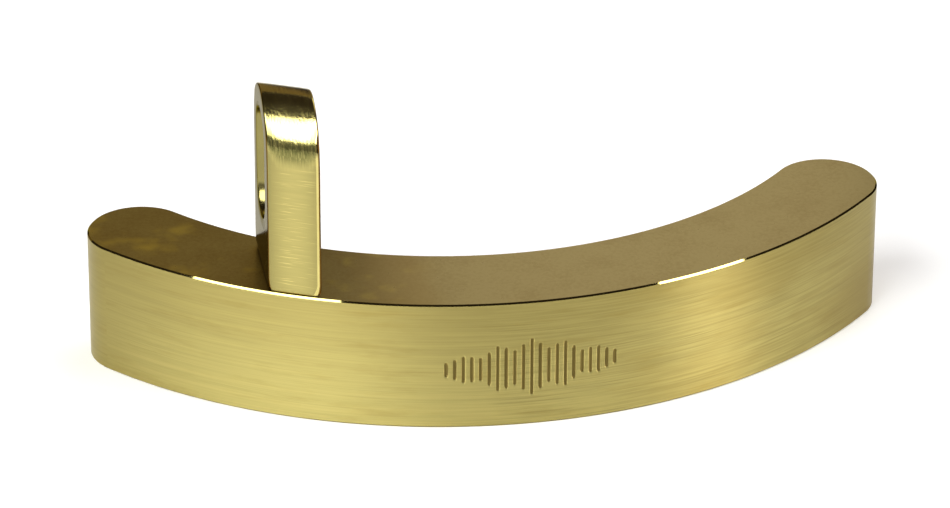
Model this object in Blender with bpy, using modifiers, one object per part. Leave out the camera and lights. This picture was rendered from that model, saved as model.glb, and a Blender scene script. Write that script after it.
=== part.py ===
"""Saxophone resonance bar: a solid brass crescent with a slotted lug standing on it.

The bar's top and bottom are flat and lie in XY, its bulging side faces -Y, and the lug stands on
the top face near the -X end. A saxophone's own screw goes through the lug's slot and clamps it.
"""

from math import cos, pi, radians, sin, sqrt, tan

import bmesh
import bpy
from mathutils import Matrix

OBJECT_NAME = "saxophone_resonance_bar"

# Sound bar: a ring sector with full-round ends.
BAR_RADIUS = 0.0435                # radius of the arc down the middle of the bar
BAR_WIDTH = 0.0098
BAR_HEIGHT = 0.0127
BAR_HALF_ANGLE = radians(48.5)     # from the middle of the arc to the centre of a round end
BAR_EDGE = 0.0002                  # width of the polished break around both flat faces

# Mounting lug: a round-topped slab whose broad faces follow the bar, cut off square to X.
LUG_X = -0.0200                    # middle of the lug between its two side faces
LUG_THICKNESS = 0.0046
LUG_SKEW = radians(-25.0)          # heading of the front and rear faces, from +X
LUG_TOP = 0.0310
LUG_FRONT_SETBACK = 0.00025        # in from the bar's outer wall
LUG_REAR_SETBACK = 0.0010          # in from the bar's inner wall
LUG_EDGE = 0.00025
SEAT_GAP = 0.0003                  # left between pieces that touch

# Clamping slot through the lug, with round ends.
SLOT_WIDTH = 0.0050
SLOT_FLOOR = 0.0181
SLOT_ROOF = 0.02885

# Countersunk M2.5 x 16 screw that holds the lug from below.
SCREW_RADIUS = 0.00125
SCREW_LENGTH = 0.0160
SCREW_RECESS = 0.0004              # head face above the bar's underside
SCREW_HEAD_RADIUS = 0.00235
SCREW_HEAD_RIM = 0.0002            # short straight rim under the cone
SCREW_TIP_CHAMFER = 0.00025
SCREW_OFFSET = -0.00095            # along Y from the middle of the lug
SCREW_HOLE_END = 0.0005            # free depth past the screw's tip
SOCKET_ACROSS_FLATS = 0.0015
SOCKET_DEPTH = 0.0009

# Dowel that keeps the lug from turning on its screw.
PIN_RADIUS = 0.00075
PIN_LENGTH = 0.0060
PIN_CHAMFER = 0.00015
PIN_OFFSET = 0.0026                # along Y from the middle of the lug
PIN_BOTTOM = 0.0101

LONG_ARC_SEGMENTS = 64
ROUND_END_SEGMENTS = 28
HOLE_SEGMENTS = 32
OVERCUT = 0.0010                   # how far a cutter reaches past the face it opens

OUTER_RADIUS = BAR_RADIUS + BAR_WIDTH / 2
INNER_RADIUS = BAR_RADIUS - BAR_WIDTH / 2
BAR_DEPTH = OUTER_RADIUS - BAR_RADIUS * cos(BAR_HALF_ANGLE) + BAR_WIDTH / 2
ARC_CENTRE_Y = OUTER_RADIUS - BAR_DEPTH / 2


def wall_y(radius, x):
    """Y of the bar's curved wall of this radius, at this X."""
    return ARC_CENTRE_Y - sqrt(radius ** 2 - x ** 2)


LUG_FRONT_Y = wall_y(OUTER_RADIUS - LUG_FRONT_SETBACK, LUG_X)
LUG_REAR_Y = wall_y(INNER_RADIUS + LUG_REAR_SETBACK, LUG_X)
LUG_Y = (LUG_FRONT_Y + LUG_REAR_Y) / 2
LUG_HALF_DEPTH = (LUG_REAR_Y - LUG_FRONT_Y) / 2 * cos(LUG_SKEW)
LUG_FOOT = BAR_HEIGHT + SEAT_GAP

BRASS = ((0.60, 0.47, 0.20, 1.0), 0.28)
STEEL = ((0.55, 0.56, 0.58, 1.0), 0.35)


def clear_scene():
    for thing in list(bpy.data.objects):
        bpy.data.objects.remove(thing, do_unlink=True)


def new_collection(name):
    collection = bpy.data.collections.new(name)
    bpy.context.scene.collection.children.link(collection)
    return collection


def metal(name, finish):
    colour, roughness = finish
    material = bpy.data.materials.new(name)
    material.use_nodes = True
    shader = material.node_tree.nodes["Principled BSDF"]
    shader.inputs["Base Color"].default_value = colour
    shader.inputs["Metallic"].default_value = 1.0
    shader.inputs["Roughness"].default_value = roughness
    return material


def arc(centre, radius, start, end, segments):
    """Points from the start angle to the end angle, both ends included."""
    step = (end - start) / segments
    angles = [start + step * i for i in range(segments + 1)]
    return [(centre[0] + radius * cos(a), centre[1] + radius * sin(a)) for a in angles]


def bar_outline():
    """Outer wall, +X end, inner wall and -X end of the crescent, seen from above."""
    middle = (0.0, ARC_CENTRE_Y)
    right = -pi / 2 + BAR_HALF_ANGLE
    left = -pi / 2 - BAR_HALF_ANGLE
    right_centre = (BAR_RADIUS * cos(right), ARC_CENTRE_Y + BAR_RADIUS * sin(right))
    left_centre = (-right_centre[0], right_centre[1])
    cap = BAR_WIDTH / 2
    outer_wall = arc(middle, OUTER_RADIUS, left, right, LONG_ARC_SEGMENTS)
    right_end = arc(right_centre, cap, right, right + pi, ROUND_END_SEGMENTS)
    inner_wall = arc(middle, INNER_RADIUS, right, left, LONG_ARC_SEGMENTS)
    left_end = arc(left_centre, cap, left + pi, left + 2 * pi, ROUND_END_SEGMENTS)
    return outer_wall[:-1] + right_end[:-1] + inner_wall[:-1] + left_end[:-1]


def lug_outline():
    """Side view of the lug: a slab with a full-round top."""
    round_centre = (0.0, LUG_TOP - LUG_HALF_DEPTH)
    top = arc(round_centre, LUG_HALF_DEPTH, 0.0, pi, ROUND_END_SEGMENTS)
    return [(LUG_HALF_DEPTH, LUG_FOOT)] + top + [(-LUG_HALF_DEPTH, LUG_FOOT)]


def slot_outline():
    radius = SLOT_WIDTH / 2
    roof = arc((0.0, SLOT_ROOF - radius), radius, 0.0, pi, ROUND_END_SEGMENTS)
    floor = arc((0.0, SLOT_FLOOR + radius), radius, pi, 2 * pi, ROUND_END_SEGMENTS)
    return roof + floor


def plate_mesh(name, outlines, thickness):
    """Closed plate from flat outlines, the first one solid and any others holes in it."""
    curve = bpy.data.curves.new(name, "CURVE")
    curve.dimensions = "2D"
    curve.fill_mode = "BOTH"
    curve.extrude = thickness / 2
    for outline in outlines:
        spline = curve.splines.new("POLY")
        spline.points.add(len(outline) - 1)
        for point, (x, y) in zip(spline.points, outline):
            point.co = (x, y, 0.0, 1.0)
        spline.use_cyclic_u = True
    guide = bpy.data.objects.new(name + "_curve", curve)
    bpy.context.scene.collection.objects.link(guide)
    graph = bpy.context.evaluated_depsgraph_get()
    mesh = bpy.data.meshes.new_from_object(guide.evaluated_get(graph))
    bpy.data.objects.remove(guide)
    mesh.name = name
    weld(mesh)
    return mesh


def weld(mesh):
    bm = bmesh.new()
    bm.from_mesh(mesh)
    bmesh.ops.remove_doubles(bm, verts=bm.verts, dist=1e-6)
    bm.to_mesh(mesh)
    bm.free()


def add_object(name, mesh, collection, location=(0.0, 0.0, 0.0)):
    thing = bpy.data.objects.new(name, mesh)
    thing.location = location
    collection.objects.link(thing)
    return thing


def turned(name, profile, collection, location):
    """Solid of revolution about Z from (radius, height) points that run down its outer side."""
    mesh = bpy.data.meshes.new(name)
    edges = [(i, i + 1) for i in range(len(profile) - 1)]
    mesh.from_pydata([(radius, 0.0, height) for radius, height in profile], edges, [])
    thing = add_object(name, mesh, collection, location)
    spin = thing.modifiers.new("turn", "SCREW")
    spin.axis = "Z"
    spin.steps = HOLE_SEGMENTS
    spin.render_steps = HOLE_SEGMENTS
    spin.use_merge_vertices = True
    spin.merge_threshold = 1e-6
    spin.use_smooth_shade = True
    return thing


def cut(piece, cutter):
    boolean = piece.modifiers.new("cut " + cutter.name, "BOOLEAN")
    boolean.operation = "DIFFERENCE"
    boolean.solver = "EXACT"
    boolean.object = cutter
    cutter.hide_render = True
    cutter.display_type = "WIRE"


def break_edges(piece, width, segments):
    bevel = piece.modifiers.new("broken edges", "BEVEL")
    bevel.width = width
    bevel.segments = segments
    bevel.limit_method = "ANGLE"
    bevel.angle_limit = radians(40.0)


def smooth(piece):
    piece.data.shade_smooth()
    piece.data.set_sharp_from_angle(angle=radians(30.0))


def screw_profile():
    """Tip, shank, countersunk cone, rim and head face."""
    face = SCREW_RECESS
    rim = face + SCREW_HEAD_RIM
    neck = rim + SCREW_HEAD_RADIUS - SCREW_RADIUS
    tip = face + SCREW_LENGTH
    return [
        (0.0, tip),
        (SCREW_RADIUS - SCREW_TIP_CHAMFER, tip),
        (SCREW_RADIUS, tip - SCREW_TIP_CHAMFER),
        (SCREW_RADIUS, neck),
        (SCREW_HEAD_RADIUS, rim),
        (SCREW_HEAD_RADIUS, face),
        (0.0, face),
    ]


def screw_hole_profile():
    """The screw's own shape with a gap all round, open through the bar's underside."""
    rim = SCREW_RECESS + SCREW_HEAD_RIM
    neck = rim + SCREW_HEAD_RADIUS - SCREW_RADIUS
    end = SCREW_RECESS + SCREW_LENGTH + SCREW_HOLE_END
    return [
        (0.0, end),
        (SCREW_RADIUS + SEAT_GAP, end),
        (SCREW_RADIUS + SEAT_GAP, neck),
        (SCREW_HEAD_RADIUS + SEAT_GAP, rim),
        (SCREW_HEAD_RADIUS + SEAT_GAP, -OVERCUT),
        (0.0, -OVERCUT),
    ]


def pin_profile():
    top = PIN_BOTTOM + PIN_LENGTH
    return [
        (0.0, top),
        (PIN_RADIUS - PIN_CHAMFER, top),
        (PIN_RADIUS, top - PIN_CHAMFER),
        (PIN_RADIUS, PIN_BOTTOM + PIN_CHAMFER),
        (PIN_RADIUS - PIN_CHAMFER, PIN_BOTTOM),
        (0.0, PIN_BOTTOM),
    ]


def pin_hole_profile():
    """Blind hole that runs from the bar into the lug."""
    radius = PIN_RADIUS + SEAT_GAP
    top = PIN_BOTTOM + PIN_LENGTH + SEAT_GAP
    bottom = PIN_BOTTOM - SEAT_GAP
    return [(0.0, top), (radius, top), (radius, bottom), (0.0, bottom)]


def make_sound_bar(parts, holes):
    mesh = plate_mesh("sound_bar", [bar_outline()], BAR_HEIGHT)
    mesh.transform(Matrix.Translation((0.0, 0.0, BAR_HEIGHT / 2)))
    bar = add_object("sound_bar", mesh, parts)
    smooth(bar)
    break_edges(bar, BAR_EDGE, 1)
    for hole in holes:
        cut(bar, hole)
    return bar


def make_mounting_lug(parts, holes):
    """The side view is extruded along X and slanted so that its broad faces follow the bar."""
    mesh = plate_mesh("mounting_lug", [lug_outline(), slot_outline()], LUG_THICKNESS)
    upright_and_slanted = Matrix((
        (0.0, 0.0, 1.0, 0.0),
        (1.0 / cos(LUG_SKEW), 0.0, tan(LUG_SKEW), 0.0),
        (0.0, 1.0, 0.0, 0.0),
        (0.0, 0.0, 0.0, 1.0),
    ))
    mesh.transform(upright_and_slanted)
    lug = add_object("mounting_lug", mesh, parts, (LUG_X, LUG_Y, 0.0))
    smooth(lug)
    break_edges(lug, LUG_EDGE, 2)
    for hole in holes:
        cut(lug, hole)
    return lug


def make_lug_screw(parts, cutters):
    place = (LUG_X, LUG_Y + SCREW_OFFSET, 0.0)
    screw = turned("lug_screw", screw_profile(), parts, place)
    bpy.ops.mesh.primitive_cylinder_add(
        vertices=6,
        radius=SOCKET_ACROSS_FLATS / sqrt(3.0),
        depth=SOCKET_DEPTH + OVERCUT,
        location=(place[0], place[1], SCREW_RECESS + (SOCKET_DEPTH - OVERCUT) / 2),
    )
    socket = bpy.context.active_object
    socket.name = "hex_socket_cutter"
    for collection in list(socket.users_collection):
        collection.objects.unlink(socket)
    cutters.objects.link(socket)
    cut(screw, socket)
    return screw


def make_locating_pin(parts):
    return turned("locating_pin", pin_profile(), parts, (LUG_X, LUG_Y + PIN_OFFSET, 0.0))


def main():
    clear_scene()
    parts = new_collection(OBJECT_NAME)
    cutters = new_collection("cutters")
    screw_place = (LUG_X, LUG_Y + SCREW_OFFSET, 0.0)
    pin_place = (LUG_X, LUG_Y + PIN_OFFSET, 0.0)
    holes = [
        turned("screw_hole_cutter", screw_hole_profile(), cutters, screw_place),
        turned("pin_hole_cutter", pin_hole_profile(), cutters, pin_place),
    ]
    finishes = {
        make_sound_bar(parts, holes): metal("brushed_brass", BRASS),
        make_mounting_lug(parts, holes): metal("lug_brass", BRASS),
        make_lug_screw(parts, cutters): metal("screw_steel", STEEL),
        make_locating_pin(parts): metal("pin_steel", STEEL),
    }
    for piece, material in finishes.items():
        piece.data.materials.append(material)


main()
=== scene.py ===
"""Looks of a saxophone resonance bar: a brass crescent, its slotted lug and the lug's fixings."""

from math import atan2, cos, pi, radians, sin, sqrt, tan

import bmesh
import bpy
import numpy as np
from mathutils import Matrix, Vector


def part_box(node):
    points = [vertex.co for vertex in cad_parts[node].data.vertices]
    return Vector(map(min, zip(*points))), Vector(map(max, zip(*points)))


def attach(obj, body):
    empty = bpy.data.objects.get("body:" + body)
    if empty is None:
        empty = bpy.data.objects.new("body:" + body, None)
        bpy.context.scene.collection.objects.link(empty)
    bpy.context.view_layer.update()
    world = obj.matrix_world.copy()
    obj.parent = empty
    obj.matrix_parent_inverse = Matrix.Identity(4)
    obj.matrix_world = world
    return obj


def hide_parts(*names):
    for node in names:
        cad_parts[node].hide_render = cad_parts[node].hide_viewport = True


bl_info = {
    "name": "Saxophone resonance bar",
    "version": (1, 0, 0),
    "blender": (4, 5, 0),
    "location": "3D View > Sidebar > Resonance bar",
    "description": "Makes a brushed brass crescent with a slotted lug, and a small studio for it",
    "category": "Object",
}

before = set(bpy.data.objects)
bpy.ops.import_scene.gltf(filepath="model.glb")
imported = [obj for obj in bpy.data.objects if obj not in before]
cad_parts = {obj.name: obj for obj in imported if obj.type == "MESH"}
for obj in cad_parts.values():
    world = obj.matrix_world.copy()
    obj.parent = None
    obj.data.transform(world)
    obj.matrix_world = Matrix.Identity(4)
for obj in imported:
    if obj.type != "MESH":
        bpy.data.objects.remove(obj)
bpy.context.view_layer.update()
BAR_LOW, BAR_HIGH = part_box("sound_bar")
LUG_LOW, LUG_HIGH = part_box("mounting_lug")
SCREW_LOW, SCREW_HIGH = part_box("lug_screw")
PIN_LOW, PIN_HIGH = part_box("locating_pin")

MM = 0.001
SEAM = 0.00001                     # left between the lug's foot and the bar
MERGE = 1e-7                       # points nearer than this are one point
EQUAL = 1e-9                       # lengths and angles nearer than this are equal
SHARP = radians(32.0)              # faces that meet at more than this meet in a crease
WHITE = (1.0, 1.0, 1.0)

# Sizes of the grids: steps in metres, and counts of points.
MARK_STEP = 0.07 * MM              # along the wall where it is engraved
WALL_STEP = 0.42 * MM              # along the rest of the wall
CAP_POINTS = 44                    # round each end of the bar
MARK_ROWS = 44                     # up the wall where it is engraved
FLAT_ROWS = 6                      # across half of a flat
ROOF_POINTS = 72                   # over the lug's round top
SIDE_POINTS = 13                   # down each straight side of the slot

# The screw, whose length and head come from its box.
SHANK_RADIUS = 1.25 * MM
THREAD_ROWS = 300

# Where the bar's finish and its painted shade change along X. Each pair is where a change starts and
# where it is full.
STREAKED = (-12.0 * MM, 4.0 * MM)        # streaks in the wall's brushing
PATCHED = (6.0 * MM, 14.0 * MM)          # patches of tarnish on the wall
SHADED_END = (28.0 * MM, 37.0 * MM)        # painted shade at the wall's plain end
SHADED_LUG_END = (32.0 * MM, 37.5 * MM)    # the same at the other end, along -X
PATINA_FADES = (-15.0 * MM, -5.0 * MM)   # brown patina on the flats
LUG_SHADOW_STARTS = (-17.0 * MM, -12.0 * MM)   # painted shade on the flats beside the lug, where its shadow falls
LUG_SHADOW_FADES = (-9.0 * MM, -6.0 * MM)

# The studio. The boxes overhead have their places and sizes as shares of CEILING.
CEILING = 0.5
FLOOR_RADIUS = 3.0
FLOOR_RINGS = 24
FLOOR_POINTS = 96                  # round each ring
PAINTED_LIGHT_POOL = (0.09, 0.30)          # distances where the painted pool of light fades: the paper starts to turn grey and is all grey
AIR_COLOUR = (1.0, 0.75, 0.6, 1.0)
AIR_STRENGTH = 0.03


# Settings ------------------------------------------------------------------------------------


def length(name, description, default):
    return bpy.props.FloatProperty(
        name=name, description=description, default=default, unit="LENGTH", precision=5)


def angle(name, description, default):
    return bpy.props.FloatProperty(
        name=name, description=description, default=default, subtype="ANGLE")


def share(name, description, default):
    return bpy.props.FloatProperty(
        name=name, description=description, default=default, min=0.0, max=1.0)


def colour(name, description, default):
    return bpy.props.FloatVectorProperty(
        name=name, description=description, default=default, subtype="COLOR", size=3)


class BarSettings(bpy.types.PropertyGroup):
    width: length("Width", "Across the crescent, from its outer to its inner wall", 9.8 * MM)
    edge: length("Edge break", "Width of the polished chamfer around both flat faces", 0.15 * MM)
    mark_angle: angle(
        "Mark place", "Turn from the middle of the arc to the mark's middle", radians(1.3))
    mark_height: length("Mark height", "Height of the engraved mark's middle", 6.0 * MM)
    mark_length: length("Mark length", "Length of the engraved mark along the wall", 15.8 * MM)
    mark_tallest: length("Tallest stroke", "Height of the mark's tallest stroke", 5.8 * MM)
    mark_depth: length("Mark depth", "Depth of the engraving", 0.07 * MM)
    mark_stroke: length("Stroke width", "Width of one engraved stroke", 0.32 * MM)
    mark_strokes: bpy.props.IntProperty(
        name="Strokes", description="Number of upright strokes in the mark", default=21, min=1)


class LugSettings(bpy.types.PropertyGroup):
    skew: angle("Skew", "Heading of the lug's front and rear faces, from X", radians(-25.0))
    front_setback: length("Front setback", "In from the bar's outer wall", 0.25 * MM)
    rear_setback: length("Rear setback", "In from the bar's inner wall", 1.0 * MM)
    slot_width: length("Slot width", "Across the slot", 5.0 * MM)
    slot_floor: length("Slot floor", "Height of the slot's lowest point", 18.1 * MM)
    slot_roof: length("Slot roof", "Height of the slot's highest point", 28.85 * MM)
    sharp_edge: length("Edge break", "Rounding of most edges", 0.2 * MM)
    soft_edge: length(
        "Worn edge", "Rounding of the two upright edges that stick out most", 0.42 * MM)
    foot_edge: length("Foot edge", "Rounding of the upright edges at the foot", 0.6 * MM)
    blend: length("Blend", "How far buffing has flattened the start of the round top", 0.30 * MM)
    crown: length("Crown", "How far the buffed top falls away towards its sides", 0.12 * MM)


class FixingSettings(bpy.types.PropertyGroup):
    pitch: length("Pitch", "Rise of the screw's thread in one turn", 0.45 * MM)
    thread_depth: length("Thread depth", "From crest to root", 0.24 * MM)
    across_flats: length("Socket", "Across flats of the hexagon socket", 1.5 * MM)
    socket_depth: length("Socket depth", "Depth of the hexagon socket", 0.9 * MM)
    rim: length("Head rim", "Straight rim under the head's cone", 0.2 * MM)
    room: length("Room", "Gap around the screw and the dowel in their holes", 0.3 * MM)


class FinishSettings(bpy.types.PropertyGroup):
    brass: colour("Brass", "Colour of the bare brass", (0.50, 0.422, 0.148))
    # this tarnish colour also makes the painted shade on the wall and on the flats beside the lug
    tarnish: colour("Tarnish", "Colour of brass that has darkened", (0.33, 0.24, 0.06))
    # painted highlights: bright golden glints painted on the patina
    painted_glint: colour(
        "Painted glints", "Colour of the spots that shine through the patina", (0.80, 0.66, 0.13))
    # painted shade: a dark band under the highlight of the lug's round top
    band_shade: colour("Painted dark band", "Colour where the lug's buffing began", (0.15, 0.145, 0.045))
    # painted shade: a dark brown line along the lug's rounded corners
    corner: colour(
        "Corner shade", "Colour of the brown tarnish along the lug's corners", (0.15, 0.075, 0.015))
    glancing: colour(
        "Glancing tint", "Tint of what polished brass reflects at a low angle", (0.32, 0.29, 0.18))
    engraving: colour("Engraving", "Colour in the engraved strokes", (0.21, 0.155, 0.045))
    steel: colour("Steel", "Colour of the screw and the dowel", (0.56, 0.565, 0.58))
    wall_roughness: share("Wall roughness", "Roughness of the brushed walls", 0.38)
    flat_roughness: share("Flat roughness", "Roughness of the ground flat faces", 0.30)
    polish_roughness: share("Polish roughness", "Roughness of the polished edges", 0.035)


class StudioSettings(bpy.types.PropertyGroup):
    floor: colour("Floor", "Colour of the paper floor", (0.94, 0.94, 0.94))
    # painted pool of light: the paper's colour outside it
    floor_outside_pool: colour("Floor outside the light pool", "Colour of the paper well away from the bar", (0.38, 0.38, 0.38))
    glow: share("Glow", "How much the paper shines by itself", 0.14)
    lens: bpy.props.FloatProperty(
        name="Lens", description="Focal length in millimetres", default=204.9)
    target: bpy.props.FloatVectorProperty(
        name="Target", description="What the camera looks at", subtype="TRANSLATION", unit="LENGTH",
        default=(-3.31 * MM, -6.66 * MM, 15.05 * MM), size=3)
    distance: length("Camera distance", "From the camera to what it looks at", 493.5 * MM)
    azimuth: angle("Camera azimuth", "Camera's turn about the vertical, from -Y", radians(-9.37))
    elevation: angle("Camera elevation", "Camera's height as an angle", radians(27.58))
    roll: angle("Camera roll", "Turn about the line of sight", radians(0.26))


def settings(name):
    return getattr(bpy.context.scene, name)


# Surfaces ------------------------------------------------------------------------------------


def smoothstep(low, high, x):
    """0 below low, 1 above high, and the cubic 3t^2 - 2t^3 in between."""
    t = np.clip((x - low) / (high - low), 0.0, 1.0)
    return t * t * (3.0 - 2.0 * t)


def grid_mesh(name, points, brush, slots, wrap_u, wrap_v, marks=None):
    """Mesh of a grid of points[u, v].

    brush[u, v] is (distance along the brush strokes, distance across them) in metres, with one
    more row than points in each direction that wraps round. slots[v] is the material of the band
    from v to v + 1. Points that coincide are merged, which closes poles and seams.
    """
    count_u, count_v = points.shape[:2]
    bands_u = count_u if wrap_u else count_u - 1
    bands_v = count_v if wrap_v else count_v - 1
    u, v = np.meshgrid(np.arange(bands_u), np.arange(bands_v), indexing="ij")
    u, v = u.ravel(), v.ravel()
    corners = [(u, v), (u + 1, v), (u + 1, v + 1), (u, v + 1)]
    faces = np.stack([(i % count_u) * count_v + j % count_v for i, j in corners], axis=1)
    strokes = np.stack([brush[i, j] for i, j in corners], axis=1)
    mesh = bpy.data.meshes.new(name)
    mesh.from_pydata(points.reshape(-1, 3), [], faces)
    layer = mesh.uv_layers.new(name="brush")
    layer.data.foreach_set("uv", strokes.reshape(-1).astype(np.float32))
    mesh.polygons.foreach_set("material_index", np.asarray(slots)[v].astype(np.int32))
    if marks is not None:
        mask = mesh.attributes.new("engraving", "FLOAT", "POINT")
        mask.data.foreach_set("value", marks.reshape(-1).astype(np.float32))
    close_up(mesh)
    return mesh


def close_up(mesh):
    """Merges coinciding points, which drops faces left with no area, and turns all faces out."""
    bm = bmesh.new()
    bm.from_mesh(mesh)
    bmesh.ops.remove_doubles(bm, verts=bm.verts, dist=MERGE)
    bmesh.ops.recalc_face_normals(bm, faces=bm.faces)
    if bm.calc_volume(signed=True) < 0.0:
        bmesh.ops.reverse_faces(bm, faces=bm.faces)
    bm.to_mesh(mesh)
    bm.free()


def finish_shading(mesh):
    mesh.shade_smooth()
    mesh.set_sharp_from_angle(angle=SHARP)


def place(name, mesh, materials, node):
    """Puts a finished mesh in the scene in place of its CAD node."""
    for material in materials:
        mesh.materials.append(material)
    piece = bpy.data.objects.new(name, mesh)
    bpy.context.scene.collection.objects.link(piece)
    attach(piece, "root")
    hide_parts(node)


def drill(mesh, cutters):
    """The mesh with each cutter's volume taken out of it."""
    piece = bpy.data.objects.new("workpiece", mesh)
    bpy.context.scene.collection.objects.link(piece)
    tools = []
    for cutter in cutters:
        tool = bpy.data.objects.new("drill", cutter)
        bpy.context.scene.collection.objects.link(tool)
        boolean = piece.modifiers.new("hole", "BOOLEAN")
        boolean.operation = "DIFFERENCE"
        boolean.solver = "EXACT"
        boolean.object = tool
        tools.append(tool)
    graph = bpy.context.evaluated_depsgraph_get()
    drilled = bpy.data.meshes.new_from_object(piece.evaluated_get(graph), depsgraph=graph)
    for thing in [piece] + tools:
        bpy.data.objects.remove(thing)
    return drilled


def turned_mesh(name, radius, height, centre, slots, around=96):
    """Surface of revolution about a vertical axis, from a list of radii and a list of heights.

    An entry of either list may also be a function of the angle, which is how a hexagon socket and
    a thread are made. The strokes run round the axis.
    """
    turn = np.linspace(0.0, 2.0 * pi, around, endpoint=False)
    rows_r = [r(turn) if callable(r) else np.full(around, r) for r in radius]
    rows_z = [z(turn) if callable(z) else np.full(around, z) for z in height]
    r, z = np.stack(rows_r, axis=1), np.stack(rows_z, axis=1)
    x = centre[0] + r * np.cos(turn)[:, None]
    y = centre[1] + r * np.sin(turn)[:, None]
    points = np.stack([x, y, z], axis=2)
    full = np.linspace(0.0, 2.0 * pi, around + 1)
    reach = np.concatenate([r, r[:1]])
    climb = np.concatenate([z, z[:1]])
    brush = np.stack([reach * full[:, None], climb + reach], axis=2)
    return grid_mesh(name, points, brush, slots, True, False)


# The crescent --------------------------------------------------------------------------------


class Crescent:
    """The bar's arc, from its box: a chord and its sagitta give a circle's radius."""

    def __init__(self, width):
        self.half_width = width / 2.0
        half_chord = (BAR_HIGH.x - BAR_LOW.x) / 2.0 - self.half_width
        sagitta = (BAR_HIGH.y - BAR_LOW.y) - width
        self.radius = (half_chord ** 2 + sagitta ** 2) / (2.0 * sagitta)
        self.half_angle = 2.0 * atan2(sagitta, half_chord)
        self.centre_y = BAR_LOW.y + self.radius + self.half_width
        self.height = BAR_HIGH.z

    def wall_y(self, radius, x):
        """Y of the circle of this radius about the arc's centre, on the bulging side."""
        return self.centre_y - sqrt(radius ** 2 - x ** 2)


def heading(turn):
    """Unit vectors that point from -Y, turned by these angles towards +X."""
    return np.stack([np.sin(turn), -np.cos(turn), np.zeros_like(turn)], axis=-1)


def capsule_path(arc, fine_from, fine_to):
    """Once round the crescent: each point's turn along the arc, and the turn of its outward way.

    The outer wall faces its own turn, the inner wall faces half a turn on, and each round end
    stays at the arc's end while its outward way makes half a turn. The steps are fine between the
    two turns where the mark lies.
    """
    end = arc.half_angle
    outer = arc.radius + arc.half_width
    before = np.linspace(-end, fine_from, max(2, round((fine_from + end) * outer / WALL_STEP)))
    fine = np.linspace(fine_from, fine_to, round((fine_to - fine_from) * outer / MARK_STEP))
    after = np.linspace(fine_to, end, max(2, round((end - fine_to) * outer / WALL_STEP)))
    along = np.concatenate([before[:-1], fine[:-1], after])
    cap = np.linspace(0.0, pi, CAP_POINTS)[1:-1]
    stay = np.full(len(cap), end)
    place_turn = np.concatenate([along, stay, along[::-1], -stay])
    way_turn = np.concatenate([along, end + cap, along[::-1] + pi, -end + pi + cap])
    return place_turn, way_turn


def stroke_heights(count):
    """A sounding note that swells and fades: a bell curve times a slow beat."""
    at = np.linspace(-1.0, 1.0, count)
    return (0.30 + 0.70 * np.exp(-2.2 * at ** 2)) * (0.66 + 0.34 * np.cos(2.5 * pi * at) ** 2)


def engraving(along, height, bar, outer):
    """Depth share, 0 to 1, at points of the outer wall: upright round-ended strokes in a row.

    A stroke covers the points whose distance to an upright line is under half its width, and its
    border is a smooth step.
    """
    half = bar.mark_tallest / 2.0 * stroke_heights(bar.mark_strokes)
    middles = np.linspace(-0.5, 0.5, bar.mark_strokes) * bar.mark_length
    middles = middles + bar.mark_angle * outer
    straight = np.maximum(half - bar.mark_stroke / 2.0, 0.0)
    across = along[..., None] - middles
    up = np.abs(height[..., None] - bar.mark_height) - straight
    distance = np.hypot(across, np.maximum(up, 0.0)).min(axis=-1)
    border = 0.05 * MM
    half_stroke = bar.mark_stroke / 2.0
    return 1.0 - smoothstep(half_stroke - border, half_stroke + border, distance)


def crescent_mesh(bar, arc):
    """Solid crescent: arc centre + R * way(place) + p * way(outward) + height.

    The profile (p, height) starts on the top face's middle line, where p is 0, goes out to the
    chamfer, down the wall and back in underneath. The outer wall sinks by the mark's depth times
    the engraving's share.
    """
    outer = arc.radius + arc.half_width
    side_room, end_room = 0.2 * MM, 0.5 * MM
    reach = 0.5 * bar.mark_length + end_room
    fine_from, fine_to = bar.mark_angle - reach / outer, bar.mark_angle + reach / outer
    place_turn, way_turn = capsule_path(arc, fine_from, fine_to)
    edge, half, tall = bar.edge, arc.half_width, arc.height
    low = bar.mark_height - bar.mark_tallest / 2.0 - side_room
    high = bar.mark_height + bar.mark_tallest / 2.0 + side_room
    inward = np.linspace(0.0, half - edge, FLAT_ROWS)
    down = np.concatenate([np.linspace(tall - edge, high, 7)[:-1],
                           np.linspace(high, low, MARK_ROWS),
                           np.linspace(low, edge, 4)[1:]])
    p = np.concatenate([inward, np.full(len(down), half), inward[::-1]])
    z = np.concatenate([np.full(FLAT_ROWS, tall), down, np.zeros(FLAT_ROWS)])
    flat, wall = ["flat"] * (FLAT_ROWS - 1), ["wall"] * (len(down) - 1)
    bands = flat + ["edge"] + wall + ["edge"] + flat
    slots = [("wall", "flat", "edge").index(band) for band in bands]

    on_wall = (p == half) & (z > edge) & (z < tall - edge)
    facing_out = np.abs(place_turn - way_turn) < EQUAL
    along, height = np.broadcast_arrays(place_turn[:, None] * outer, z)
    marks = engraving(along, height, bar, outer) * (facing_out[:, None] & on_wall)
    out = p - bar.mark_depth * marks
    centre = np.array([0.0, arc.centre_y, 0.0])
    points = (centre + arc.radius * heading(place_turn)[:, None]
              + out[..., None] * heading(way_turn)[:, None]
              + z[:, None] * np.array([0.0, 0.0, 1.0]))

    rim = centre + arc.radius * heading(place_turn) + half * heading(way_turn)
    steps = np.linalg.norm(np.roll(rim, -1, axis=0) - rim, axis=1)
    travelled = np.concatenate([[0.0], np.cumsum(steps)])
    brush = np.stack(np.broadcast_arrays(travelled[:, None], (z - p)[None]), axis=2)
    return grid_mesh("crescent_bar", points, brush, slots, True, False, marks)


# The lug -------------------------------------------------------------------------------------


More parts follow.
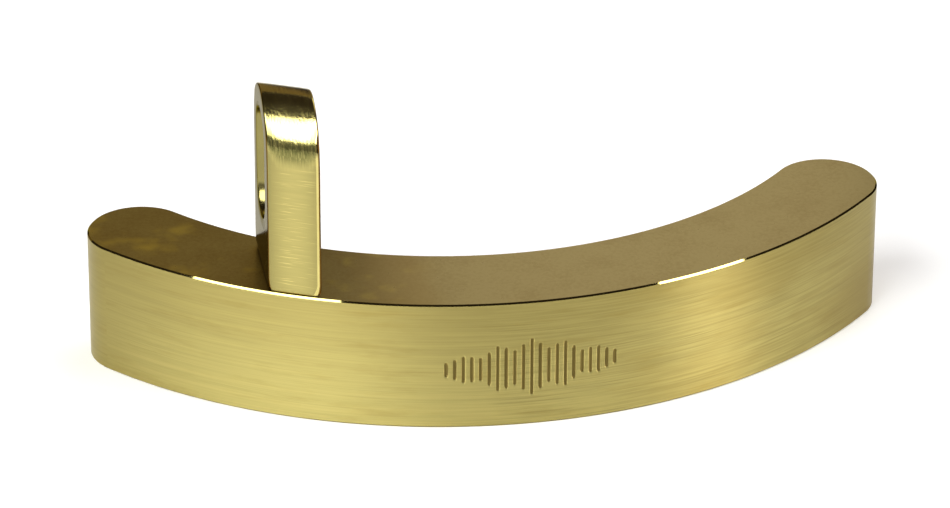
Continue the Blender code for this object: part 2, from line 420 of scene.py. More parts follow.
class Lug:
    """The lug's place and size: thickness and top from its box, depth from the bar's walls."""

    def __init__(self, lug, arc):
        self.x = (LUG_LOW.x + LUG_HIGH.x) / 2.0
        self.thickness = LUG_HIGH.x - LUG_LOW.x
        self.top = LUG_HIGH.z
        self.foot = arc.height + SEAM
        front = arc.wall_y(arc.radius + arc.half_width - lug.front_setback, self.x)
        rear = arc.wall_y(arc.radius - arc.half_width + lug.rear_setback, self.x)
        self.y = (front + rear) / 2.0
        self.half_depth = (rear - front) / 2.0 * cos(lug.skew)


def lug_outlines(lug, size):
    """Matching outlines of the lug and of its slot, as (depth, height) pairs, once round.

    Both have a round roof over straight sides. Below that the slot has its round floor, and the
    lug its lower sides and its flat foot with small rounded corners. Depth is positive forwards.
    """
    h, r = size.half_depth, lug.slot_width / 2.0
    roof, floor = lug.slot_roof - r, lug.slot_floor + r
    top = size.top - h
    sweep = np.linspace(0.0, pi, ROOF_POINTS)
    round_top = np.stack([h * np.cos(sweep), top + h * np.sin(sweep)], axis=1)
    slot_roof = np.stack([r * np.cos(sweep), roof + r * np.sin(sweep)], axis=1)
    side = np.linspace(0.0, 1.0, SIDE_POINTS + 1)[1:]
    rear = np.stack([np.full(SIDE_POINTS, -h), top + (floor - top) * side], axis=1)
    slot_rear = np.stack([np.full(SIDE_POINTS, -r), roof + (floor - roof) * side], axis=1)
    base = foot_line(h, floor, size.foot, lug.sharp_edge)
    under = np.linspace(pi, 2.0 * pi, len(base) + 1)[1:]
    slot_floor = np.stack([r * np.cos(under), floor + r * np.sin(under)], axis=1)
    front = rear[::-1] * [-1.0, 1.0]
    slot_front = slot_rear[::-1] * [-1.0, 1.0]
    outline = np.concatenate([round_top, rear, base, front[1:]])
    slot = np.concatenate([slot_roof, slot_rear, slot_floor, slot_front[1:]])
    return outline, slot


def foot_line(half, start, foot, corner):
    """Down the rear side, round the foot's two corners and up to the front side's start height."""
    fall = np.linspace(start, foot + corner, 16)[1:]
    rear = np.stack([np.full(len(fall), -half), fall], axis=1)
    bend = np.linspace(pi, 1.5 * pi, 6)[1:]
    bend = np.stack([-half + corner + corner * np.cos(bend),
                     foot + corner + corner * np.sin(bend)], axis=1)
    sole = np.linspace(-half + corner, half - corner, 14)[1:]
    sole = np.stack([sole, np.full(len(sole), foot)], axis=1)
    rise = np.concatenate([rear, bend])[::-1] * [-1.0, 1.0]
    rise = np.concatenate([rise[1:], [[half, start]]])
    return np.concatenate([rear, bend, sole, rise])


def outward_ways(outline):
    """Unit normals of a closed outline, from the points either side of each point."""
    ahead = np.roll(outline, -1, axis=0) - np.roll(outline, 1, axis=0)
    normal = np.stack([ahead[:, 1], -ahead[:, 0]], axis=1)
    return normal / np.linalg.norm(normal, axis=1, keepdims=True)


def corner(start, peak, end, steps):
    """Quadratic Bezier from start to end that leaves and arrives along the lines to peak."""
    t = np.linspace(0.0, 1.0, steps)[:, None, None]
    return (1.0 - t) ** 2 * start + 2.0 * t * (1.0 - t) * peak + t ** 2 * end


def between(start, end, steps):
    """Straight rows from start to end, without the two ends."""
    t = np.linspace(0.0, 1.0, steps + 2)[1:-1, None, None]
    return start + t * (end - start)


def unit(vectors):
    return vectors / np.linalg.norm(vectors, axis=-1, keepdims=True)


def top_buffing(lug, size, outline):
    """How far buffing sinks each outline point: at the sides only, and all the way across.

    The first is a smooth step in height that partly fades again to the top. The second is a smooth
    step up and down in the length climbed from the round top's start, on the front only.
    """
    start = size.top - size.half_depth
    up = outline[:, 1]
    sides = smoothstep(start - 1.5 * MM, start + 0.5 * MM, up)
    sides = sides * (1.0 - 0.75 * smoothstep(start + 1.0 * MM, size.top, up))
    turned = np.arcsin(np.clip((up - start) / size.half_depth, 0.0, 1.0))
    climbed = np.where(up > start, turned * size.half_depth, up - start)
    rises = smoothstep(-1.0 * MM, 4.0 * MM, climbed)
    fades = 1.0 - smoothstep(4.1 * MM, 0.5 * pi * size.half_depth, climbed)
    return lug.crown * sides, lug.blend * rises * fades * (outline[:, 0] > 0.0)


def edge_widths(lug, size, outline):
    """Rounding at each outline point, for the edges on the +X side and on the -X side.

    The skew makes the front edge on one side and the rear edge on the other stick out. Those are
    worn to just above the round top's start, and every edge is rounder near the foot.
    """
    start = size.top - size.half_depth
    forward, up = outline[:, 0] / size.half_depth, outline[:, 1]
    low_down = 1.0 - smoothstep(start + 1.6 * MM, start + 2.6 * MM, up)
    near_foot = 1.0 - smoothstep(size.foot, size.foot + 1.1 * MM, up)
    widths = {}
    for hand in (+1, -1):
        stuck_out = smoothstep(0.0, 0.9, hand * forward)
        worn = lug.sharp_edge + (lug.soft_edge - lug.sharp_edge) * stuck_out * low_down
        widths[hand] = worn + (lug.foot_edge - lug.sharp_edge) * near_foot
    return widths


def lug_mesh(lug, size):
    """Slotted slab as a ring: u goes once round the outline, v once round the wall's section.

    The section is the outer face, a rounded edge, the side face, a rounded edge, the slot's face,
    and the same back along the other side. The broad faces run along the skew. Each outer edge is
    in three bands. From the face on, the first is polished and painted brighter at +X, as a painted
    highlight, and like the face at -X, the second is a brown line of painted shade, and the third
    is like the side.
    """
    outline, slot = lug_outlines(lug, size)
    normal = outward_ways(outline)
    normal[np.abs(outline[:, 1] - size.foot) < EQUAL] = [0.0, -1.0]
    half = size.thickness / 2.0
    side_sink, whole_sink = top_buffing(lug, size, outline)
    widths = edge_widths(lug, size, outline)

    def at(section, s, sink=0.0):
        """World points of section points that lie s along the lug from its middle, sunk a bit."""
        depth, height = (section - np.reshape(sink, (-1, 1)) * normal).T
        x = np.full_like(depth, size.x + s)
        y = size.y - depth / cos(lug.skew) + s * tan(lug.skew)
        return np.stack([x, y, height], axis=1)

    def outer_at(s):
        """Points of the outer face: the crown sinks its sides, and the blend most its middle."""
        edge_ward = (s / half) ** 4
        return at(outline, s, side_sink * edge_ward + whole_sink * (1.0 - 0.45 * edge_ward))

    along = np.array([cos(lug.skew), sin(lug.skew), 0.0])
    rows, kinds = [], []

    def add(block, kind):
        rows.append(block)
        kinds.extend([kind] * len(block))

    def add_bend(side, ends, *bands):
        """Rounded edge from one of its ends to the other, as bands of (material, rows)."""
        total = sum(count for _, count in bands)
        bend = corner(side[ends[0]], side["peak"], side[ends[1]], total)
        for kind, count in bands:
            add(bend[:count], kind)
            bend = bend[count:]

    edges, reach = {}, {}
    for hand, worn in widths.items():
        reach[hand] = hand * (half - worn * cos(lug.skew))
        peak, slot_peak = outer_at(hand * half), at(slot, hand * half)
        inward = unit(slot_peak - peak)
        edges[hand] = {
            "outer": outer_at(reach[hand]),
            "peak": peak,
            "side": peak + inward * worn[:, None],
            "slot_side": slot_peak - inward * lug.sharp_edge,
            "slot_peak": slot_peak,
            "slot": slot_peak - hand * along * lug.sharp_edge,
        }
    left, right = edges[-1], edges[+1]
    shares = np.linspace(0.0, 1.0, 25)[1:-1]
    add(np.stack([outer_at(reach[-1] + (reach[+1] - reach[-1]) * t) for t in shares]), "face")
    add_bend(right, ("outer", "side"), ("edge", 4), ("line", 5), ("side", 5))
    add(between(right["side"], right["slot_side"], 6), "side")
    add(corner(right["slot_side"], right["slot_peak"], right["slot"], 5), "slot")
    add(between(right["slot"], left["slot"], 6), "slot")
    add(corner(left["slot"], left["slot_peak"], left["slot_side"], 5), "slot")
    add(between(left["slot_side"], left["side"], 6), "side")
    add_bend(left, ("side", "outer"), ("side", 3), ("line", 3), ("face", 4))
    points = np.concatenate(rows).transpose(1, 0, 2)
    slots = [("face", "edge", "line", "side", "slot").index(kind) for kind in kinds]
    steps = np.linalg.norm(np.diff(outline, axis=0, append=outline[:1]), axis=1)
    round_way = np.concatenate([[0.0], np.cumsum(steps)])
    section = np.linalg.norm(np.diff(points[0], axis=0, append=points[0][:1]), axis=1)
    section_way = np.concatenate([[0.0], np.cumsum(section)])
    brush = np.stack(np.broadcast_arrays(section_way[None], round_way[:, None]), axis=2)
    return grid_mesh("slotted_lug", points, brush, slots, True, True)


# Fixings -------------------------------------------------------------------------------------


def screw_profile(fixing, grow=0.0):
    """Head and shank radius, and heights of rim, neck and tip, of the countersunk screw.

    The two radii are grown by the room in its hole. The head's cone goes in as far as it goes up.
    """
    head = (SCREW_HIGH.x - SCREW_LOW.x) / 2.0
    rim = SCREW_LOW.z + fixing.rim
    neck = rim + head - SHANK_RADIUS
    return head + grow, SHANK_RADIUS + grow, rim, neck, SCREW_HIGH.z


def screw_centre():
    return ((SCREW_LOW.x + SCREW_HIGH.x) / 2.0, (SCREW_LOW.y + SCREW_HIGH.y) / 2.0)


def pin_centre():
    return ((PIN_LOW.x + PIN_HIGH.x) / 2.0, (PIN_LOW.y + PIN_HIGH.y) / 2.0)


def screw_mesh(fixing):
    """Countersunk screw: a turned profile with a hexagon socket and a helical thread.

    The hexagon's radius is the apothem over the cosine of the angle from the nearest flat. The
    thread's radius falls from crest to root and back as the height, less the share of the pitch
    that the angle stands for, goes through one pitch.
    """
    head, shank, rim, neck, tip = screw_profile(fixing)
    face = SCREW_LOW.z
    bevel, chamfer, nick = 0.26 * MM, 0.05 * MM, 0.03 * MM
    apothem = fixing.across_flats / 2.0
    socket_roof = face + fixing.socket_depth

    def hexagon(grow):
        return lambda turn: (apothem + grow) / np.cos((turn + pi / 6) % (pi / 3) - pi / 6)

    def thread(height):
        fade = float(smoothstep(neck, neck + 1.2 * MM, height))
        fade *= 1.0 - float(smoothstep(tip - 0.5 * MM, tip - 0.1 * MM, height))

        def radius(turn):
            phase = (height / fixing.pitch - turn / (2.0 * pi)) % 1.0
            valley = 1.0 - np.clip(np.abs(phase - 0.5) * 2.4, 0.0, 1.0)
            return shank - fixing.thread_depth * fade * valley
        return radius

    climb = np.linspace(tip - bevel, neck + 0.15 * MM, THREAD_ROWS)
    radius = [0.0, 0.55 * shank, shank - 0.30 * MM, shank - bevel]
    height = [tip, tip, tip, tip - 0.02 * MM]
    radius += [thread(z) for z in climb]
    height += list(climb)
    radius += [shank, shank + nick, head - nick, head, head, head - chamfer]
    height += [neck + 0.04 * MM, neck - nick, rim + nick, rim, face + chamfer, face]
    radius += [hexagon(0.30 * MM), hexagon(0.06 * MM), hexagon(0.0), hexagon(0.0)]
    height += [face, face, face + 0.06 * MM, socket_roof - 0.2 * MM]
    radius += [0.45 * apothem, 0.0]
    height += [socket_roof, socket_roof]
    return turned_mesh("countersunk_screw", radius, height, screw_centre(), [0] * (len(radius) - 1))


def pin_mesh():
    """Ground dowel: a cylinder whose ends break over two small facets."""
    r, low, high = (PIN_HIGH.x - PIN_LOW.x) / 2.0, PIN_LOW.z, PIN_HIGH.z
    cut, nick = 0.15 * MM, 0.04 * MM
    radius = [0.0, r - cut - nick, r - cut, r - nick, r, r, r - nick, r - cut, r - cut - nick, 0.0]
    up = [high, high, high - nick, high - cut, high - cut - nick]
    height = up + [low + high - z for z in reversed(up)]
    return turned_mesh("dowel_pin", radius, height, pin_centre(), [0] * (len(radius) - 1))


def hole_cutters(fixing):
    """Drills for the screw's countersunk hole and the dowel's blind hole."""
    head, shank, rim, neck, tip = screw_profile(fixing, fixing.room)
    end = tip + 0.5 * MM
    cutters = []
    radius = [0.0, shank, shank, head, head, 0.0]
    height = [end, end, neck, rim, -MM, -MM]
    cutters.append(turned_mesh("screw_drill", radius, height, screw_centre(), [0] * 5, 64))
    r = (PIN_HIGH.x - PIN_LOW.x) / 2.0 + fixing.room
    high, low = PIN_HIGH.z + fixing.room, PIN_LOW.z - fixing.room
    cutters.append(turned_mesh("dowel_drill", [0.0, r, r, 0.0], [high, high, low, low],
                               pin_centre(), [0] * 3, 48))
    return cutters


# Shader maths --------------------------------------------------------------------------------


class Value:
    """A shader socket that arithmetic works on. Each operation adds a Math node."""

    def __init__(self, paint, socket):
        self.paint = paint
        self.socket = socket

    def _math(self, operation, *values):
        return self.paint.node("ShaderNodeMath", {"operation": operation}, dict(enumerate(values)))

    def __add__(self, other):
        return self._math("ADD", self, other)

    def __sub__(self, other):
        return self._math("SUBTRACT", self, other)

    def __rsub__(self, other):
        return self._math("SUBTRACT", other, self)

    def __mul__(self, other):
        return self._math("MULTIPLY", self, other)

    def __truediv__(self, other):
        return self._math("DIVIDE", self, other)

    def __pow__(self, other):
        return self._math("POWER", self, other)

    __radd__ = __add__
    __rmul__ = __mul__

    def arctan2(self, other):
        return self._math("ARCTAN2", self, other)

    def step(self, low, high):
        """0 below low, 1 above high, smooth in between."""
        return self.paint.node(
            "ShaderNodeMapRange",
            {"interpolation_type": "SMOOTHSTEP"},
            {"Value": self, "From Min": low, "From Max": high},
        )


class Paint:
    """Builds one material's nodes around its Principled shader."""

    def __init__(self, name):
        self.material = bpy.data.materials.new(name)
        self.material.use_nodes = True
        self.tree = self.material.node_tree
        self.shader = self.tree.nodes["Principled BSDF"]

    def node(self, kind, options=None, inputs=None, output=0):
        """A node of this kind with its settings, then its sockets' values or links."""
        made = self.tree.nodes.new(kind)
        for name, value in (options or {}).items():
            setattr(made, name, value)
        for key, value in (inputs or {}).items():
            self.connect(made.inputs[key], value)
        return Value(self, made.outputs[output])

    def connect(self, socket, value):
        if isinstance(value, Value):
            self.tree.links.new(value.socket, socket)
        else:
            socket.default_value = value

    def set(self, **inputs):
        """Values and links of the Principled shader, Base_Color for Base Color and so on."""
        for name, value in inputs.items():
            self.connect(self.shader.inputs[name.replace("_", " ")], value)

    def object_place(self):
        """X, Y and Z of the shaded point, in metres."""
        place_node = self.node("ShaderNodeTexCoord", output="Object")
        split = self.node("ShaderNodeSeparateXYZ", inputs={"Vector": place_node})
        outputs = split.socket.node.outputs
        return tuple(Value(self, outputs[axis]) for axis in "XYZ")

    def strokes(self):
        """Distances along and across the brush strokes, from the piece's own UV map."""
        place_node = self.node("ShaderNodeUVMap", {"uv_map": "brush"})
        split = self.node("ShaderNodeSeparateXYZ", inputs={"Vector": place_node})
        outputs = split.socket.node.outputs
        return Value(self, outputs["X"]), Value(self, outputs["Y"])

    def vector(self, x, y, z=0.0):
        return self.node("ShaderNodeCombineXYZ", inputs={"X": x, "Y": y, "Z": z})

    def noise(self, vector, scale=1.0, detail=2.0, roughness=0.5):
        """Soft noise, about 0.5 on average."""
        return self.node("ShaderNodeTexNoise", inputs={
            "Vector": vector, "Scale": scale, "Detail": detail, "Roughness": roughness})

    def mix(self, factor, a, b):
        """Colour a where factor is 0 and colour b where it is 1."""
        return self.node(
            "ShaderNodeMix", {"data_type": "RGBA"}, {0: factor, 6: a, 7: b}, output=2)

    def bump(self, height, distance):
        return self.node("ShaderNodeBump", inputs={"Height": height, "Distance": distance})


def rgba(rgb, gain=1.0):
    return (*(min(1.0, c * gain) for c in rgb), 1.0)


def brush_lines(paint, along, across, fine, reach):
    """Streaks of noise in three widths of line, laid over each other and drawn out along strokes."""
    thin = paint.noise(paint.vector(along / reach, across / fine), detail=1.0)
    middle = paint.noise(
        paint.vector(along / (reach * 2.3), across / (fine * 3.7), 5.0), detail=2.0)
    broad = paint.noise(
        paint.vector(along / (reach * 3.1), across / (fine * 13.0), 9.0), detail=2.0)
    return thin * 0.35 + middle * 0.35 + broad * 0.3


def brushed_brass(paint, finish, x):
    """Colour, roughness and bump of brass brushed along the bar, with faint cloudy tarnish.

    The tarnish is drawn out along the strokes. Dark streaks and hairlines lie over the bare brass,
    and they are fainter at the lug's end.
    """
    along, across = paint.strokes()
    lines = brush_lines(paint, along, across, 0.05 * MM, 12.0 * MM)
    cloud = paint.noise(
        paint.vector(along / (8.0 * MM), across / (1.3 * MM), 3.0), detail=4.0, roughness=0.6)
    streak = paint.noise(
        paint.vector(along / (10.0 * MM), across / (0.24 * MM), 2.0), detail=3.0, roughness=0.6)
    hair = paint.noise(paint.vector(along / (9.0 * MM), across / (0.13 * MM), 6.0), detail=0.0)
    drawn = 0.3 + 0.7 * x.step(*STREAKED)
    dark_streak = (1.0 - streak.step(0.38, 0.60)) * 0.45 * drawn
    dark_hair = hair.step(0.62, 0.78) * 0.45 * drawn
    bare = paint.mix(lines.step(0.3, 0.7), rgba(finish.brass, 0.92), rgba(finish.brass, 1.12))
    bare = paint.mix(dark_streak, bare, rgba(finish.brass, 0.66))
    bare = paint.mix(dark_hair, bare, rgba(finish.brass, 0.5))
    base = paint.mix(cloud.step(0.48, 0.8) * 0.42, bare, rgba(finish.tarnish))
    return base, finish.wall_roughness + (lines - 0.5) * 0.2, paint.bump(lines, 0.005 * MM)


def wall_brass(finish, arc):
    """The crescent's brushed wall, dark and dull in the mark's strokes.

    It is painted darker and browner up towards the top edge, as painted shade, and patchy on the
    half without the lug, and it has painted shade at both round ends, most at the plain one.
    """
    paint = Paint("wall_brass")
    x, y, z = paint.object_place()
    base, roughness, bump = brushed_brass(paint, finish, x)
    mark = paint.node("ShaderNodeAttribute", {"attribute_name": "engraving"}, output="Fac")
    soil = mark.step(0.15, 0.75)
    # painted shade: the wall darker and browner up towards its top edge
    top_shade = z.step(0.1 * arc.height, arc.height) * 0.36
    patch = paint.noise(paint.vector(x, y, z * 2.5), scale=75.0, detail=3.0, roughness=0.55)
    patch = patch.step(0.38, 0.62) * x.step(*PATCHED)
    # painted shade at both round ends, most at the plain one and low on the wall
    ends = x.step(*SHADED_END) + 0.3 * (0.0 - x).step(*SHADED_LUG_END)
    ends = ends * (0.9 - 0.6 * z.step(0.2 * arc.height, 0.9 * arc.height))
    base = paint.mix(top_shade, base, rgba(finish.tarnish, 0.8))
    base = paint.mix(patch * 0.3, base, rgba(finish.tarnish, 0.9))
    base = paint.mix(ends * 0.8, base, rgba(finish.tarnish, 0.9))
    paint.set(Metallic=1.0, Base_Color=paint.mix(soil, base, rgba(finish.engraving)),
              Roughness=roughness * (1.0 - soil) + soil * 0.5, Normal=bump,
              Anisotropic=0.9, Anisotropic_Rotation=0.25)
    return paint.material


def flat_brass(finish, arc):
    """The crescent's lapped flats: satin, with brown patina and small painted glints at one end.

    Just past the lug a short stretch of the flats is painted warmer and browner, as painted shade
    where the lug's shadow falls.
    """
    paint = Paint("flat_brass")
    x, y, z = paint.object_place()
    from_centre = y - arc.centre_y
    radius = (x * x + from_centre * from_centre) ** 0.5
    turn = x.arctan2(0.0 - from_centre)
    lines = brush_lines(paint, turn * arc.radius, radius, 0.09 * MM, 5.0 * MM)
    grain = paint.noise(paint.vector(x, y, z), scale=2600.0, detail=3.0, roughness=0.7)
    blotch = paint.noise(paint.vector(x, y, z), scale=230.0, detail=5.0, roughness=0.65)
    spots = paint.noise(paint.vector(x, y, z + 0.04), scale=150.0, detail=3.0, roughness=0.6)
    patina = 1.0 - (x + (blotch - 0.5) * 3.0 * MM).step(*PATINA_FADES)
    stain = blotch.step(0.35, 0.75) * 0.35 + (grain.step(0.3, 0.7) - 0.5) * 0.4 + patina * 0.35
    base = paint.mix(stain, rgba(finish.brass, 0.98), rgba(finish.tarnish))
    # painted shade: a warmer, browner stretch beside the lug, where its shadow falls
    warm = x.step(*LUG_SHADOW_STARTS) * (1.0 - x.step(*LUG_SHADOW_FADES))
    base = paint.mix(warm * 0.5, base, rgba(finish.tarnish, 1.3))
    # painted highlights: bright glints painted on the patina
    painted_glint = spots.step(0.50, 0.72) * patina
    base = paint.mix(painted_glint * 0.8, base, rgba(finish.painted_glint))
    paint.set(Metallic=1.0, Base_Color=base,
              Roughness=finish.flat_roughness + (lines - 0.5) * 0.06 + (grain - 0.5) * 0.12,
              Normal=paint.bump(grain, 0.0016 * MM))
    return paint.material


def polished_brass(name, finish, metal, roughness, tone=1.0):
    """Buffed brass of this colour, from a near mirror to satin, with hairlines and orange peel."""
    paint = Paint(name)
    x, y, z = paint.object_place()
    along, across = paint.strokes()
    hairs = paint.noise(paint.vector(along / (3.0 * MM), across / (0.12 * MM)), detail=2.0)
    peel = paint.noise(paint.vector(x, y, z), scale=900.0, detail=2.0)
    # tone above 1 gives a lit copy of the brass, a painted highlight, and below 1 a shaded copy,
    # painted shade
    dark, light = rgba(metal, 0.95 * tone), rgba(metal, 1.05 * tone)
    paint.set(Metallic=1.0, Base_Color=paint.mix(peel.step(0.3, 0.8), dark, light),
              Roughness=roughness * (0.7 + hairs * 0.6), Specular_Tint=rgba(finish.glancing))
    return paint.material


def lug_face_brass(finish, size):
    """The lug's outer face: brushed level up to the round top, buffed by hand from there on.

    The buffed part reaches down in a bowl: its border, at a height z, is at a distance from the
    face's middle that grows with z. A streaky band of painted shade lies along that border, under
    the round top's highlight. Below it the face is scratched in the middle and has painted shade at
    its sides.
    """
    paint = Paint("lug_face_brass")
    x, _, z = paint.object_place()
    along, across = paint.strokes()
    level = brush_lines(paint, along, across, 0.05 * MM, 3.5 * MM)
    scratch = paint.noise(paint.vector(along / (2.6 * MM), across / (0.09 * MM), 7.0), detail=0.0)
    buff = paint.noise(paint.vector(along / (0.13 * MM), across / (1.6 * MM), 3.0), detail=3.0)
    ragged = paint.noise(paint.vector(along / (0.22 * MM), across / (0.45 * MM), 5.0), detail=3.0)
    start = size.top - size.half_depth
    side = ((x - size.x) * (2.0 / size.thickness)) ** 2.0
    bowl = z - side * side * 1.8 * MM + (buff - 0.5) * 0.9 * MM
    round_part = bowl.step(start - 1.6 * MM, start - 0.3 * MM)
    # painted shade: a streaky dark band along the bowl's border, under the round top's highlight
    painted_band_starts = bowl.step(start - 1.4 * MM, start)
    painted_band_ends = bowl.step(start + 0.9 * MM, start + 1.6 * MM)
    painted_band = painted_band_starts * (1.0 - painted_band_ends) * (0.95 - 0.5 * buff.step(0.35, 0.7))
    bare = paint.mix(level.step(0.25, 0.75), rgba(finish.brass, 0.9), rgba(finish.brass, 1.08))
    bare = paint.mix(scratch.step(0.66, 0.78) * (1.0 - side), bare, rgba(finish.brass, 1.5))
    # painted shade: the face darker towards its sides
    bare = paint.mix(side * 0.8, bare, rgba(finish.brass, 0.55))
    buffed = paint.mix(buff.step(0.25, 0.7), rgba(finish.brass, 0.95), rgba(finish.brass, 1.2))
    base = paint.mix(painted_band, paint.mix(round_part, bare, buffed), rgba(finish.band_shade))
    brushed_rough = finish.wall_roughness + (level - 0.5) * 0.2
    smoother = z.step(start - 0.8 * MM, start + 0.9 * MM)
    buffed_rough = 0.30 - 0.13 * smoother + (buff - 0.5) * 0.12
    height = level * (1.0 - round_part) + (buff * 0.6 + ragged * 2.6) * round_part
    paint.set(Metallic=1.0, Base_Color=base,
              Roughness=brushed_rough * (1.0 - round_part) + buffed_rough * round_part,
              Normal=paint.bump(height, 0.007 * MM))
    return paint.material


def turned_steel(name, finish):
    """Turned or ground steel, with fine rings around the axis."""
    paint = Paint(name)
    along, across = paint.strokes()
    x, y, z = paint.object_place()
    rings = brush_lines(paint, along, across, 0.03 * MM, 4.0 * MM)
    cloud = paint.noise(paint.vector(x, y, z), scale=500.0, detail=3.0)
    base = paint.mix(cloud.step(0.3, 0.8), rgba(finish.steel, 0.9), rgba(finish.steel, 1.1))
    paint.set(Metallic=1.0, Base_Color=base, Roughness=0.26 + (rings - 0.5) * 0.2,
              Normal=paint.bump(rings, 0.002 * MM))
    return paint.material


def paper(studio):
    """Matt paper that glows faintly, with a painted pool of light: palest around the bar and greyer
    well away from it.
    """
    paint = Paint("floor_paper")
    x, y, z = paint.object_place()
    away = (x * x + y * y) ** 0.5
    tooth = paint.noise(paint.vector(x, y, z), scale=700.0, detail=3.0)
    pale = paint.mix(tooth.step(0.2, 0.8), rgba(studio.floor, 0.99), rgba(studio.floor))
    # painted pool of light: pale near the bar, grey away from it
    tone = paint.mix(away.step(*PAINTED_LIGHT_POOL), pale, rgba(studio.floor_outside_pool))
    paint.set(Base_Color=tone, Roughness=0.9, Emission_Color=tone, Emission_Strength=studio.glow)
    return paint.material


# Operators -----------------------------------------------------------------------------------


class MakeCrescent(bpy.types.Operator):
    """Make the brass crescent with its chamfers, engraved mark and fixing holes"""

    bl_idname = "resonance_bar.crescent"
    bl_label = "Crescent"

    def execute(self, context):
        bar, finish = settings("bar"), settings("finish")
        arc = Crescent(bar.width)
        mesh = drill(crescent_mesh(bar, arc), hole_cutters(settings("fixing")))
        finish_shading(mesh)
        materials = [wall_brass(finish, arc), flat_brass(finish, arc),
                     polished_brass("edge_brass", finish, finish.brass, finish.polish_roughness)]
        place("crescent_bar", mesh, materials, "sound_bar")
        return {"FINISHED"}


class MakeLug(bpy.types.Operator):
    """Make the slotted brass lug that stands on the crescent"""

    bl_idname = "resonance_bar.lug"
    bl_label = "Slotted lug"

    def execute(self, context):
        lug, finish = settings("lug"), settings("finish")
        size = Lug(lug, Crescent(settings("bar").width))
        mesh = drill(lug_mesh(lug, size), hole_cutters(settings("fixing")))
        finish_shading(mesh)
        materials = [lug_face_brass(finish, size),
                     # painted highlight: a brighter copy of the brass on the +X rounded edges
                     polished_brass("lug_edge_highlight_brass", finish, finish.brass, 0.12, tone=1.35),
                     # painted shade: a dark brown line along the lug's rounded corners
                     polished_brass("lug_corner_shade_brass", finish, finish.corner, 0.20),
                     # painted shade: a darker copy of the brass on the lug's side faces
                     polished_brass("lug_side_shade_brass", finish, finish.brass, 0.12, tone=0.62),
                     # painted shade: a darker copy of the brass inside the slot
                     polished_brass("slot_shade_brass", finish, finish.brass, 0.20, tone=0.55)]
        place("slotted_lug", mesh, materials, "mounting_lug")
        return {"FINISHED"}


class MakeFixings(bpy.types.Operator):
    """Make the countersunk screw and the dowel that hold the lug"""

    bl_idname = "resonance_bar.fixings"
    bl_label = "Screw and dowel"

    def execute(self, context):
        finish = settings("finish")
        for mesh, node, slot in ((screw_mesh(settings("fixing")), "lug_screw", "screw_steel"),
                                 (pin_mesh(), "locating_pin", "pin_steel")):
            finish_shading(mesh)
            place(mesh.name, mesh, [turned_steel(slot, finish)], node)
        return {"FINISHED"}


class MakeStudio(bpy.types.Operator):
    """Make the paper floor, the soft boxes and the camera"""

    bl_idname = "resonance_bar.studio"
    bl_label = "Studio"

    def execute(self, context):
        studio = settings("studio")
        make_floor(studio)
        make_lights()
        make_camera(studio)
        return {"FINISHED"}


def make_floor(studio):
    """A level disc of paper, as rings of points whose radius grows towards the rim."""
    turn = np.linspace(0.0, 2.0 * pi, FLOOR_POINTS, endpoint=False)[:, None]
    radius = FLOOR_RADIUS * np.linspace(0.0, 1.0, FLOOR_RINGS)[None] ** 2
    level = np.zeros((1, 1))
    points = np.stack(
        np.broadcast_arrays(radius * np.cos(turn), radius * np.sin(turn), level), axis=2)
    share_round = np.linspace(0.0, 1.0, FLOOR_POINTS + 1)[:, None]
    brush = np.stack(np.broadcast_arrays(share_round, radius), axis=2)
    mesh = grid_mesh("floor", points, brush, [0] * (FLOOR_RINGS - 1), True, False)
    if mesh.polygons[0].normal.z < 0.0:
        mesh.flip_normals()
    mesh.materials.append(paper(studio))
    floor = bpy.data.objects.new("floor", mesh)
    bpy.context.scene.collection.objects.link(floor)


def soft_box(name, place_at, aim, size, radiance, tint=WHITE):
    """Rectangular area light whose face has this radiance and looks at aim."""
    data = bpy.data.lights.new(name, "AREA")
    data.shape = "RECTANGLE"
    data.size, data.size_y = size
    data.energy = radiance * pi * size[0] * size[1]
    data.color = tint
    lamp = bpy.data.objects.new(name, data)
    lamp.location = place_at
    lamp.visible_camera = False
    look = (Vector(aim) - Vector(place_at)).to_track_quat("-Z", "Y")
    lamp.rotation_euler = look.to_euler()
    bpy.context.scene.collection.objects.link(lamp)


def hung_box(name, across, size, radiance, tint=WHITE):
    """Soft box that hangs face down. across and size are shares of the ceiling's height."""
    x, y = across[0] * CEILING, across[1] * CEILING
    face = (size[0] * CEILING, size[1] * CEILING)
    soft_box(name, (x, y, CEILING), (x, y, 0.0), face, radiance, tint)


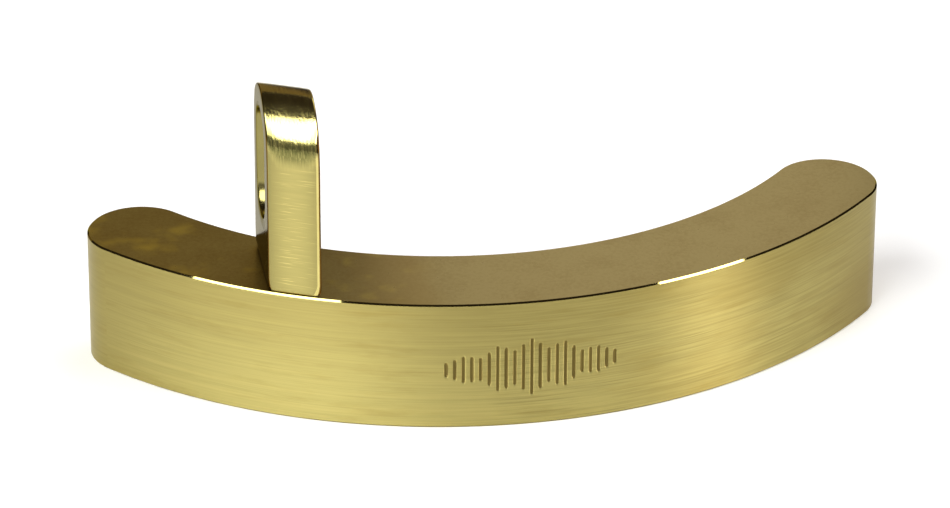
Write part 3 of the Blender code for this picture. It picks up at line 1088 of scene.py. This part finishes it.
def make_lights():
    """Three boxes overhead, a low one at the right, and three dim panels for the reflections.

    The back and warm panels stand close behind the bar, the front panel far off at the front left.
    """
    hung_box("left_box", (-1.0, -1.07), (1.2, 1.85), 7.3, tint=(0.965, 1.0, 0.995))
    hung_box("right_box", (0.86, -0.48), (0.38, 0.66), 10.2)
    hung_box("fill_box", (0.50, 0.45), (0.8, 0.8), 2.2)
    soft_box("side_box", (0.366, -0.258, 0.10), aim=(0.0, 0.0, 0.01), size=(0.13, 0.16),
             radiance=7.5, tint=(1.0, 0.92, 0.86))
    soft_box("back_panel", (0.027, 0.066, 0.050), aim=(0.027, 0.0, 0.013), size=(0.058, 0.075),
             radiance=0.52, tint=(1.0, 0.87, 0.88))
    soft_box("front_panel", (-0.72, -0.84, 0.20), aim=(0.0, 0.0, 0.02), size=(0.9, 0.4),
             radiance=0.3)
    soft_box("warm_panel", (-0.060, 0.080, 0.060), aim=(-0.055, 0.0, 0.013), size=(0.11, 0.09),
             radiance=0.20, tint=(1.0, 0.72, 0.32))
    world = bpy.data.worlds.new("studio_air")
    world.use_nodes = True
    air = world.node_tree.nodes["Background"]
    air.inputs["Color"].default_value = AIR_COLOUR
    air.inputs["Strength"].default_value = AIR_STRENGTH
    bpy.context.scene.world = world


def make_camera(studio):
    """A long lens that looks down on the bulging side."""
    level = cos(studio.elevation)
    away = Vector((sin(studio.azimuth) * level, -cos(studio.azimuth) * level,
                   sin(studio.elevation)))
    data = bpy.data.cameras.new("camera")
    data.lens = studio.lens
    data.sensor_width = 36.0
    data.clip_start = 0.01
    camera = bpy.data.objects.new("camera", data)
    turn = (-away).to_track_quat("-Z", "Y").to_matrix().to_4x4()
    roll = Vector((0.0, 0.0, 1.0))
    camera.matrix_world = (Matrix.Translation(studio.target + away * studio.distance) @ turn
                           @ Matrix.Rotation(studio.roll, 4, roll))
    bpy.context.scene.collection.objects.link(camera)
    bpy.context.scene.camera = camera


class ResonanceBarPanel(bpy.types.Panel):
    """Lists the pieces"""

    bl_idname = "VIEW3D_PT_resonance_bar"
    bl_label = "Resonance bar"
    bl_space_type = "VIEW_3D"
    bl_region_type = "UI"
    bl_category = "Resonance bar"

    def draw(self, context):
        for operator in OPERATORS:
            self.layout.operator(operator.bl_idname)


SETTINGS = {"bar": BarSettings, "lug": LugSettings, "fixing": FixingSettings,
            "finish": FinishSettings, "studio": StudioSettings}
OPERATORS = (MakeCrescent, MakeLug, MakeFixings, MakeStudio)


def register():
    for name, group in SETTINGS.items():
        bpy.utils.register_class(group)
        setattr(bpy.types.Scene, name, bpy.props.PointerProperty(type=group))
    for operator in OPERATORS:
        bpy.utils.register_class(operator)
    bpy.utils.register_class(ResonanceBarPanel)


def unregister():
    bpy.utils.unregister_class(ResonanceBarPanel)
    for operator in OPERATORS:
        bpy.utils.unregister_class(operator)
    for name, group in SETTINGS.items():
        delattr(bpy.types.Scene, name)
        bpy.utils.unregister_class(group)


def main():
    register()
    bpy.context.scene.view_settings.view_transform = "Standard"
    bpy.ops.resonance_bar.crescent()
    bpy.ops.resonance_bar.lug()
    bpy.ops.resonance_bar.fixings()
    bpy.ops.resonance_bar.studio()


if __name__ == "__main__":
    main()
